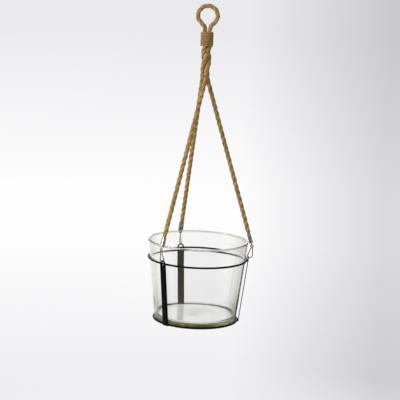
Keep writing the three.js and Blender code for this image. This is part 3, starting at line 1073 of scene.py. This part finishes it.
@dataclass(frozen=True)
class RopePlace:
    """One place along a rope."""

    middle: Vector
    outward: Vector
    across: Vector
    run: float


def rope_places(points: Sequence[Vector], outward: Vector, sense: float) -> list[RopePlace]:
    """Carries a rope's cross directions along its middle line without twist.

    Args:
        points: the middle line.
        outward: the first cross direction at its start.
        sense: 1 where the line runs up the rope, -1 where it runs down.

    Returns:
        The places, with the run along the rope, which is negative where the line runs down.
    """
    places = []
    run = 0.0
    for i, point in enumerate(points):
        ahead = (points[min(i + 1, len(points) - 1)] - points[max(i - 1, 0)]).normalized()
        outward = (outward - ahead * outward.dot(ahead)).normalized()
        run += (point - points[i - 1]).length if i else 0.0
        places.append(RopePlace(point, outward, (ahead * sense).cross(outward), run * sense))
    return places


@dataclass
class LaidCord:
    """Strands twisted round a cord's middle line, with loose fibre ends."""

    strands: int
    lay: float
    offset_share: float
    strand_share: float
    sides: int
    yarn_lay: float = 0.017
    wisps: int = 0
    wisp_length: tuple[float, float] = (0.003, 0.0075)
    wisp_radius: float = 0.00007

    def strand_matrix(self, place: RopePlace, half: tuple[float, float], strand: int, phase: float) -> Matrix:
        """Where one strand's unit circle stands at a place.

        Args:
            place: the place along the cord.
            half: the cord's half width outward and across.
            strand: the strand's number.
            phase: the first strand's angle where the run is 0.

        Returns:
            The matrix.
        """
        turn = phase + TURN * (strand / self.strands + place.run / self.lay)
        middle = (place.middle + place.outward * (math.cos(turn) * half[0] * self.offset_share)
                  + place.across * (math.sin(turn) * half[1] * self.offset_share))
        outward = place.outward * half[0] * self.strand_share
        across = place.across * half[1] * self.strand_share
        up = place.outward.cross(place.across) * 0.001
        return Matrix.Translation(middle) @ Matrix((outward, across, up)).transposed().to_4x4()

    def mark(self, layer: bmesh.types.BMLayerItem, ring: Sequence[bmesh.types.BMVert], inverse: Matrix, size: float,
             run: float, shift: float) -> None:
        """Writes a ring's place in its own straight strand.

        Args:
            layer: the attribute's layer.
            ring: the ring's vertices.
            inverse: from the row frame to the ring's unit circle.
            size: the strand's radius.
            run: the distance along the strand.
            shift: a distance that makes each strand differ.
        """
        twist = Matrix.Rotation(-TURN * run / self.yarn_lay, 3, "Z")
        for vert in ring:
            flat = twist @ (inverse @ vert.co)
            vert[layer] = Vector((flat.x * size, flat.y * size, run + shift))

    def strand_mesh(self, places: Sequence[RopePlace], widths: Callable[[float], tuple[float, float]], strand: int,
                    phase: float, seed: int) -> bmesh.types.BMesh:
        """Twists one strand along the cord.

        Args:
            places: the places along the cord.
            widths: the half widths outward and across at a run.
            strand: the strand's number.
            phase: the first strand's angle where the run is 0.
            seed: the cord's seed, which shifts the fibre pattern.

        Returns:
            The strand's mesh.
        """
        bm = bmesh.new()
        layer = bm.verts.layers.float_vector.new(STRAND_SPACE)
        matrices = [self.strand_matrix(place, widths(place.run), strand, phase) for place in places]
        for ring, matrix, place in zip(sweep(bm, matrices, self.sides), matrices, places):
            size = widths(place.run)[1] * self.strand_share
            self.mark(layer, ring, matrix.inverted(), size, place.run, 1.7 * strand + 0.31 * seed)
        return bm

    def wisp_mesh(self, places: Sequence[RopePlace], widths: Callable[[float], tuple[float, float]], seed: int
                  ) -> bmesh.types.BMesh:
        """Makes the loose fibre ends that stand off the cord.

        Args:
            places: the places along the cord.
            widths: the half widths outward and across at a run.
            seed: the seed of the random draws.

        Returns:
            The fibres' mesh.
        """
        bm = bmesh.new()
        layer = bm.verts.layers.float_vector.new(STRAND_SPACE)
        draw = random.Random(seed)
        for _ in range(self.wisps):
            place = places[draw.randrange(2, len(places) - 2)]
            turn = draw.uniform(0.0, TURN)
            half = widths(place.run)
            away = place.outward * math.cos(turn) + place.across * math.sin(turn)
            beside = place.across * math.cos(turn) - place.outward * math.sin(turn)
            along = place.outward.cross(place.across) * draw.choice((-1.0, 1.0))
            base = (place.middle + place.outward * math.cos(turn) * half[0] * 0.9
                    + place.across * math.sin(turn) * half[1] * 0.9)
            length = draw.uniform(*self.wisp_length)
            lift, drift = draw.uniform(0.12, 0.30), draw.uniform(-0.3, 0.3)
            shift = draw.uniform(0.0, 5.0)
            rings = []
            for share in (0.0, 0.33, 0.67, 1.0):
                reach = length * share
                middle = base + along * reach + away * reach * lift * (0.6 + 0.4 * share) + beside * reach * drift * share
                size = self.wisp_radius * (1.0 - 0.6 * share)
                rings.append(Matrix.Translation(middle)
                             @ Matrix((away * size, beside * size, along * size)).transposed().to_4x4())
            for ring in sweep(bm, rings, 3):
                for vert in ring:
                    vert[layer] = Vector((self.wisp_radius, 0.0, shift))
        return bm

    def build(self, points: Sequence[Vector], outward: Vector, sense: float, phase: float,
              widths: Callable[[float], tuple[float, float]], seed: int) -> bmesh.types.BMesh:
        """Twists the strands along a middle line.

        Args:
            points: the middle line.
            outward: the first cross direction at its start.
            sense: 1 where the line runs up the rope, -1 where it runs down.
            phase: the first strand's angle at the start.
            widths: the half widths outward and across at a run.
            seed: the seed of the random draws.

        Returns:
            The mesh.
        """
        places = rope_places(points, outward, sense)
        parts = [self.strand_mesh(places, widths, strand, phase, seed) for strand in range(self.strands)]
        if self.wisps:
            parts.append(self.wisp_mesh(places, widths, seed))
        bm = bmesh.new()
        bm.verts.layers.float_vector.new(STRAND_SPACE)
        for part in parts:
            mesh = bpy.data.meshes.new("strand")
            part.to_mesh(mesh)
            part.free()
            bm.from_mesh(mesh)
            bpy.data.meshes.remove(mesh)
        return bm


def rope_lay(wisps: int) -> LaidCord:
    """The three-strand rope of the legs, trunk and loop, with that many loose fibre ends."""
    return LaidCord(strands=3, lay=0.036, offset_share=0.395, strand_share=0.615, sides=14, wisps=wisps)


@dataclass
class RopeRig:
    """The three rope legs, the trunk they are laid into, the whipping and the hanging loop."""

    lay_radius: float = 0.00496
    lay_length: float = 0.085629
    lay_lead: float = 55.0
    leave_radius: float = 0.004977
    lay_ease: float = 0.008
    bend_length: float = 0.008
    trunk_half: float = 0.0043
    leave_half: float = 0.0041
    bound_half: float = 0.00375
    leg_half: float = 0.004
    crimped_half: tuple[float, float] = (0.0023, 0.0033)
    cup_floor: float = 0.0081
    cup_top: float = 0.0222
    twine: float = 0.0022
    twine_gap: float = 0.0005
    twine_radius: float = 0.01026
    whipping_turns: int = 9
    whipping_lap: float = 0.007
    neck_length: float = 0.003
    neck_half: float = 0.00415
    loop_radius: float = 0.017
    loop_shoulder: float = 0.025
    leg_wisps: int = 150
    trunk_wisps: int = 45
    loop_wisps: int = 70
    phases: dict[str, float] = field(default_factory=lambda: {"right": 0.4, "rear": 2.1, "front": 1.2})

    @property
    def trunk_length(self) -> float:
        """From the fork to the top of the laid ropes."""
        return LAYOUT.trunk_top - LAYOUT.fork

    def lay_at(self, distance: float) -> float:
        """Turns of lay at a distance above the fork, with no lay at the two ends.

        Args:
            distance: the distance above the fork.

        Returns:
            The turns.
        """
        rest = self.trunk_length - distance
        if distance < self.lay_ease:
            return distance ** 2 / (2 * self.lay_ease * self.lay_length)
        if rest < self.lay_ease:
            return (self.trunk_length - self.lay_ease - rest ** 2 / (2 * self.lay_ease)) / self.lay_length
        return (distance - self.lay_ease / 2) / self.lay_length

    def leg_points(self, steps: int) -> list[Vector]:
        """A leg's middle line, turned to its side afterwards, from the fork down into the ferrule.

        Args:
            steps: how many steps the straight stretch has.

        Returns:
            The points.
        """
        lead = math.radians(self.lay_lead)
        top = Vector((self.leave_radius * math.cos(lead), self.leave_radius * math.sin(lead), LAYOUT.fork))
        turn = top - Vector((0, 0, self.bend_length))
        eye = Vector((LAYOUT.eye_centre[0], 0, LAYOUT.eye_centre[1]))
        mouth = eye + LAYOUT.leg_line * self.cup_top
        low = eye + LAYOUT.leg_line * self.cup_floor
        bend_end = turn.lerp(mouth, self.bend_length / (mouth - turn).length)
        bend = [(1 - t) ** 2 * top + 2 * t * (1 - t) * turn + t ** 2 * bend_end for t in (i / 10 for i in range(10))]
        straight = [bend_end.lerp(mouth, i / steps) for i in range(steps)]
        return [*bend, *straight, *(mouth.lerp(low, i / 8) for i in range(9))]

    def leg_widths(self, length: float) -> Callable[[float], tuple[float, float]]:
        """The half widths along a leg: trunk width at the fork, rope width below, flat inside the ferrule.

        Args:
            length: the leg's length.

        Returns:
            The half widths at a run, which is negative down the leg.
        """
        mouth = length - (self.cup_top - self.cup_floor)

        def widths(run: float) -> tuple[float, float]:
            """The half width outward and across at a run."""
            grown = self.leave_half + (self.leg_half - self.leave_half) * ease(-run / 0.014)
            flat = ease((-run - mouth + 0.006) / 0.0065)
            return (grown + (self.crimped_half[0] - grown) * flat, grown + (self.crimped_half[1] - grown) * flat)

        return widths

    def leg(self, side: Side, jute: bpy.types.Material) -> bpy.types.Object:
        """Args:
            side: where it runs.
            jute: its finish.

        Returns:
            The piece.
        """
        points = [side.matrix @ point for point in self.leg_points(170)]
        length = sum((b - a).length for a, b in zip(points, points[1:]))
        outward = side.matrix.to_3x3() @ Vector((1, 0, 0))
        bm = rope_lay(self.leg_wisps).build(points, outward, -1.0, self.phases[side.label],
                                            self.leg_widths(length), 11 + list(Side).index(side))
        piece = piece_from(bm, f"jute_leg_{side.label}", jute, 70.0)
        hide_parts(f"rope_leg_{side.label}")
        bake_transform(piece)
        report(piece, f"basket and clip_{side.label}")
        return piece

    def trunk_widths(self, run: float) -> tuple[float, float]:
        """The half widths along the trunk, which narrows at the fork and under the whipping."""
        bound = ease((run - 0.80 * self.trunk_length) / (0.09 * self.trunk_length))
        full = self.leave_half + (self.trunk_half - self.leave_half) * ease(run / 0.012)
        half = full + (self.bound_half - full) * bound
        return half, half

    def trunk_rope(self, side: Side, jute: bpy.types.Material) -> bpy.types.Object:
        """Lays one of the three ropes of the trunk, on from the top of its leg.

        Args:
            side: the leg that it goes on from.
            jute: its finish.

        Returns:
            The piece.
        """
        points = []
        for i in range(81):
            distance = self.trunk_length * i / 80
            angle = side.azimuth + math.radians(self.lay_lead) + TURN * self.lay_at(distance)
            points.append(Vector((self.lay_radius * math.cos(angle), self.lay_radius * math.sin(angle),
                                  UNDERSIDE + LAYOUT.fork + distance)))
        outward = side.matrix.to_3x3() @ Vector((1, 0, 0))
        bm = rope_lay(self.trunk_wisps).build(points, outward, 1.0, self.phases[side.label], self.trunk_widths,
                                              21 + list(Side).index(side))
        piece = piece_from(bm, f"jute_trunk_{side.label}", jute, 70.0)
        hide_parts(f"trunk_rope_{side.label}")
        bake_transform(piece)
        report(piece, "hanger and basket")
        return piece

    def loop_points(self, steps: int) -> list[Vector]:
        """The loop's middle line, from the right side of its neck over the top to the left side.

        Args:
            steps: how many steps each span has.

        Returns:
            The points.
        """
        neck_top = (LAYOUT.trunk_top - self.whipping_lap + self.whipping_turns * (self.twine + self.twine_gap)
                    + self.neck_length)
        centre = neck_top + self.loop_shoulder
        a, b, c, d = (Vector(p) for p in ((self.neck_half, 0, neck_top),
                                          (self.neck_half, 0, neck_top + self.loop_shoulder / 2),
                                          (self.loop_radius, 0, centre - self.loop_shoulder / 2),
                                          (self.loop_radius, 0, centre)))
        shoulder = [(1 - t) ** 3 * a + 3 * t * (1 - t) ** 2 * b + 3 * t * t * (1 - t) * c + t ** 3 * d
                    for t in (i / 5 for i in range(6))]
        right = [Vector((self.neck_half, 0, LAYOUT.trunk_top + LAYOUT.seat_gap)), *shoulder]
        top = [Vector((x, 0, z)) for x, z in round_corner((0.0, centre), self.loop_radius, 0.0, 180.0, 12)[1:-1]]
        left = [Vector((-p.x, 0, p.z)) for p in reversed(right)]
        return [p + Vector((0, 0, UNDERSIDE)) for p in smooth_line([*right, *top, *left], steps)]

    def loop(self, jute: bpy.types.Material) -> bpy.types.Object:
        """Args:
            jute: its finish.

        Returns:
            The piece.
        """
        points = self.loop_points(5)
        half = (self.leg_half, self.leg_half)
        bm = rope_lay(self.loop_wisps).build(points, Vector((1, 0, 0)), 1.0, 0.0, lambda run: half, 31)
        piece = piece_from(bm, "jute_hang_loop", jute, 70.0)
        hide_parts("hang_loop")
        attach(piece, "hanger")
        report(piece, "hanger")
        return piece

    def winding(self, radius: float, start: float, turns: int) -> list[Vector]:
        """The middle line of one layer of the whipping, its ends tucked in.

        Args:
            radius: of the layer, at the middle of the twine.
            start: how many turns above the whipping's foot it starts.
            turns: how many turns it has.

        Returns:
            The points.
        """
        per_turn = 96
        points = []
        for i in range(turns * per_turn + 1):
            turn = i / per_turn
            tuck = max(0.0, 1.0 - min(turn, turns - turn) / 0.09)
            reach = radius - 0.0016 * tuck * tuck
            height = LAYOUT.trunk_top - self.whipping_lap + (self.twine + self.twine_gap) * (start + turn)
            points.append(Vector((reach * math.cos(TURN * turn), reach * math.sin(TURN * turn), UNDERSIDE + height)))
        return points

    def whipping(self, twine: bpy.types.Material) -> bpy.types.Object:
        """Winds the two-ply twine round the trunk's top and the loop's neck, over an under-layer of the same twine.

        Args:
            twine: its finish.

        Returns:
            The piece.
        """
        half = (self.twine / 2 * 1.12, self.twine / 2 * 1.12)
        ply = LaidCord(strands=2, lay=0.0062, offset_share=0.46, strand_share=0.58, sides=8, yarn_lay=0.006)
        bm = ply.build(self.winding(self.twine_radius, 0.0, self.whipping_turns), Vector((1, 0, 0)), 1.0, 0.0,
                       lambda run: half, 41)
        under = ply.build(self.winding(self.twine_radius - 0.0017, 0.5, self.whipping_turns - 1), Vector((1, 0, 0)),
                          1.0, 0.0, lambda run: half, 42)
        mesh = bpy.data.meshes.new("under_layer")
        under.to_mesh(mesh)
        under.free()
        bm.from_mesh(mesh)
        bpy.data.meshes.remove(mesh)
        piece = piece_from(bm, "twine_whipping", twine, 70.0)
        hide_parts("loop_whipping")
        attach(piece, "hanger")
        report(piece, "hanger")
        return piece

    def build(self, jute: bpy.types.Material, twine: bpy.types.Material) -> None:
        """Makes every rope.

        Args:
            jute: the ropes' finish.
            twine: the whipping's finish.
        """
        for side in Side:
            self.leg(side, jute)
            self.trunk_rope(side, jute)
        self.loop(jute)
        self.whipping(twine)


# Studio


@dataclass
class Studio:
    """The floor, the lamps, the pale air round the object and the camera at the photo's angle."""

    floor_drop: float = 0.45
    floor_radius: float = 3.2
    floor_fade: tuple[float, float] = (0.55, 1.25)
    floor_colour: Colour = (0.9, 0.9, 0.915, 1.0)
    left_air: Colour = (0.985, 0.985, 0.995, 1.0)
    right_air: Colour = (0.70, 0.70, 0.72, 1.0)
    edge_air: Colour = (0.84, 0.84, 0.85, 1.0)
    seen_air: Colour = (0.95, 0.95, 0.975, 1.0)
    dark_air: Colour = (0.26, 0.24, 0.185, 1.0)
    lit_air: Colour = (0.33, 0.33, 0.34, 1.0)
    key_power: float = 30.0
    fill_power: float = 5.0
    back_power: float = 10.0
    focal_pixels: float = 1300.0
    frame_pixels: float = 400.0
    elevation: float = 9.656
    distance: float = 2.29371
    roll: float = 2.445
    aim: tuple[float, float] = (-0.000168, 0.216083)

    def camera(self) -> None:
        """Sets the camera at the photo's angle, with the photo's slight roll."""
        tilt, roll = math.radians(self.elevation), math.radians(self.roll)
        ahead = Vector((0, math.cos(tilt), -math.sin(tilt)))
        right = Vector((1, 0, 0))
        up = right.cross(ahead)
        turned_right = math.cos(roll) * right + math.sin(roll) * up
        turned_up = math.cos(roll) * up - math.sin(roll) * right
        data = bpy.data.cameras.new("photo_camera")
        data.sensor_fit = "HORIZONTAL"
        data.sensor_width = 36.0
        data.lens = data.sensor_width * self.focal_pixels / self.frame_pixels
        camera = bpy.data.objects.new("photo_camera", data)
        place = Vector((self.aim[0], 0, UNDERSIDE + self.aim[1])) - ahead * self.distance
        turn = Matrix((turned_right, turned_up, -ahead)).transposed().to_4x4()
        camera.matrix_world = Matrix.Translation(place) @ turn
        bpy.context.collection.objects.link(camera)
        bpy.context.scene.camera = camera

    def lamp(self, name: str, power: float, size: float, place: Sequence[float]) -> None:
        """Hangs one soft lamp that faces the pot.

        Args:
            name: its name.
            power: its power in watts.
            size: its width.
            place: where it hangs, from the middle of the planter.
        """
        data = bpy.data.lights.new(name, "AREA")
        data.energy = power
        data.size = size
        lamp = bpy.data.objects.new(name, data)
        lamp.visible_transmission = False
        offset = Vector(place)
        turn = offset.to_track_quat("Z", "Y").to_matrix().to_4x4()
        lamp.matrix_world = Matrix.Translation(offset + Vector((0, 0, UNDERSIDE + self.aim[1]))) @ turn
        bpy.context.collection.objects.link(lamp)

    def seen_ray(self, pen: NodePen) -> bpy.types.NodeSocket:
        """1 for a ray from the camera, from a reflection or through glass.

        Args:
            pen: the tree's pen.

        Returns:
            The number's socket.
        """
        path = pen.add("ShaderNodeLightPath")
        mirrored = pen.math("MAXIMUM", path.outputs["Is Glossy Ray"], path.outputs["Is Transmission Ray"])
        return pen.math("MAXIMUM", path.outputs["Is Camera Ray"], mirrored)

    def air(self) -> None:
        """Fills the room with pale air, dark above and behind the viewer for what metal and glass reflect."""
        world = bpy.data.worlds.new("studio_air")
        world.use_nodes = True
        bpy.context.scene.world = world
        pen = NodePen(world.node_tree)
        background = world.node_tree.nodes["Background"]
        path = pen.add("ShaderNodeLightPath")
        heading = pen.add("ShaderNodeSeparateXYZ", {0: pen.add("ShaderNodeTexCoord").outputs["Generated"]})
        toward = pen.ramp(heading.outputs["Y"], -0.1, -0.6)
        above = pen.ramp(heading.outputs["Z"], -0.75, -0.45)
        mirrored = pen.math("GREATER_THAN", path.outputs["Glossy Depth"], 0.5)
        flagged = pen.math("MULTIPLY", pen.math("MULTIPLY", toward, above), mirrored)
        pale = pen.blend(pen.ramp(heading.outputs["X"], 0.03, 0.14), self.left_air, self.right_air)
        off_level = pen.math("ABSOLUTE", pen.math("ADD", heading.outputs["Z"], 0.18))
        edge = pen.math("MULTIPLY", pen.ramp(off_level, 0.02, 0.14), pen.math("SUBTRACT", 1.0, mirrored))
        pale = pen.blend(edge, pale, self.edge_air, "MULTIPLY")
        seen = pen.blend(flagged, pale, self.dark_air)
        colour = pen.blend(self.seen_ray(pen), self.lit_air, seen)
        pen.tree.links.new(colour, background.inputs["Color"])
        background.inputs["Strength"].default_value = 1.0

    def floor(self) -> None:
        """Lays a round pale floor below the hanging pot, which fades out at its edge and from below."""
        bm = bmesh.new()
        bmesh.ops.create_circle(bm, cap_ends=True, segments=64, radius=self.floor_radius)
        bmesh.ops.translate(bm, vec=(0, 0, UNDERSIDE - self.floor_drop), verts=bm.verts)
        mesh = bpy.data.meshes.new("studio_floor")
        bm.to_mesh(mesh)
        bm.free()
        material, pen, shader = bare_material("pale_floor")
        tree = material.node_tree
        shader.inputs["Base Color"].default_value = self.floor_colour
        shader.inputs["Roughness"].default_value = 0.9
        glow = pen.add("ShaderNodeEmission", {"Color": self.seen_air, "Strength": 1.0})
        share = pen.math("MULTIPLY", self.seen_ray(pen), 0.8)
        lit = pen.add("ShaderNodeMixShader", {0: share, 1: shader.outputs[0], 2: glow.outputs[0]})
        place = pen.scaled(pen.add("ShaderNodeTexCoord").outputs["Object"], (1.0, 1.0, 0.0))
        reach = pen.add("ShaderNodeVectorMath", {0: place}, operation="LENGTH").outputs["Value"]
        below = pen.add("ShaderNodeNewGeometry").outputs["Backfacing"]
        clear = pen.math("MAXIMUM", pen.ramp(reach, *self.floor_fade), below)
        open_air = pen.add("ShaderNodeBsdfTransparent")
        mixed = pen.add("ShaderNodeMixShader", {0: clear, 1: lit.outputs[0], 2: open_air.outputs[0]})
        tree.links.new(mixed.outputs[0], tree.nodes["Material Output"].inputs["Surface"])
        mesh.materials.append(material)
        floor = bpy.data.objects.new("studio_floor", mesh)
        bpy.context.collection.objects.link(floor)

    def build(self) -> None:
        """Sets up the camera, the lamps, the air and the floor."""
        bpy.context.scene.view_settings.view_transform = "Standard"
        self.camera()
        self.lamp("key_lamp", self.key_power, 1.1, (-1.55, -0.75, 0.75))
        self.lamp("fill_lamp", self.fill_power, 1.4, (1.2, -1.6, 0.5))
        self.lamp("back_lamp", self.back_power, 1.4, (0.2, 1.9, 0.8))
        self.air()
        self.floor()


def main() -> None:
    """Builds the planter piece by piece."""
    logging.basicConfig(level=logging.INFO, format="%(name)s: %(message)s")
    fibre = laid_fibre_group()
    handled = handled_metal_group()
    jute = JuteFinish("natural_jute").build(fibre)
    twine = JuteFinish("jute_twine", yarns=4.0, relief=0.0002).build(fibre)
    nickel = MetalFinish("nickel_plate", clean=(0.42, 0.39, 0.31, 1.0), dull=(0.16, 0.145, 0.10, 1.0), metallic=1.0,
                         smooth=0.12, rough=0.28, grain=0.6).build(handled)
    steel = MetalFinish("satin_black_paint", clean=(0.0008, 0.0007, 0.0004, 1.0), dull=(0.0028, 0.0025, 0.0016, 1.0),
                        metallic=0.0, smooth=0.3, rough=0.45, grain=1.0, gleam=0.04).build(handled)
    glass = GlassFinish("pressed_glass").build()
    Studio().build()
    RopeRig().build(jute, twine)
    ClipSet().build(nickel)
    WireBasket().build(steel)
    GlassPot().build(glass)


if __name__ == "__main__":
    main()
